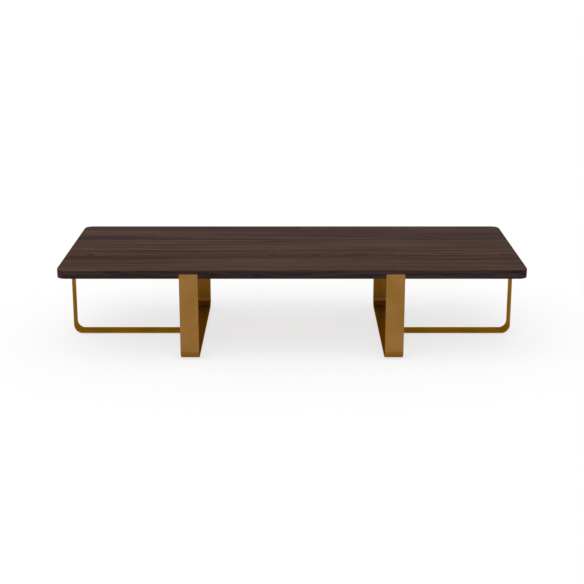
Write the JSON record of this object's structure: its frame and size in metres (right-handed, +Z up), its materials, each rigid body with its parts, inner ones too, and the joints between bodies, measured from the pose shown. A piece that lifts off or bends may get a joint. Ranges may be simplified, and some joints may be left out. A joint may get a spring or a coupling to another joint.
{
  "type": "raised serving board",
  "caption": "Low rectangular walnut board on two bent brass strap frames, for serving, display or as a riser.",
  "frame": {"origin": "on the surface that the feet stand on, below the middle of the board", "axes": "+X along the board's length, +Y towards the rear edge, +Z up"},
  "size_m": [0.6, 0.25, 0.121],
  "materials": {
    "walnut": "oiled, satin",
    "brass_strap": "brushed, lacquered satin",
    "brass_bracket": "brushed satin",
    "screw_steel": "zinc plated",
    "felt_foot": "pressed felt"
  },
  "bodies": {
    "root": {"front_stave": "walnut", "front_middle_stave": "walnut", "rear_middle_stave": "walnut", "rear_stave": "walnut", "left_cross_strap": "brass_strap", "left_end_strap": "brass_strap", "right_cross_strap": "brass_strap", "right_end_strap": "brass_strap", "left_front_bracket": "brass_bracket", "left_rear_bracket": "brass_bracket", "left_end_bracket": "brass_bracket", "right_front_bracket": "brass_bracket", "right_rear_bracket": "brass_bracket", "right_end_bracket": "brass_bracket", "left_front_outer_screw": "screw_steel", "left_front_inner_screw": "screw_steel", "left_rear_outer_screw": "screw_steel", "left_rear_inner_screw": "screw_steel", "left_end_outer_screw": "screw_steel", "left_end_inner_screw": "screw_steel", "right_front_outer_screw": "screw_steel", "right_front_inner_screw": "screw_steel", "right_rear_outer_screw": "screw_steel", "right_rear_inner_screw": "screw_steel", "right_end_outer_screw": "screw_steel", "right_end_inner_screw": "screw_steel", "left_front_foot": "felt_foot", "left_rear_foot": "felt_foot", "left_end_foot": "felt_foot", "right_front_foot": "felt_foot", "right_rear_foot": "felt_foot", "right_end_foot": "felt_foot"}
  },
  "joints": []
}
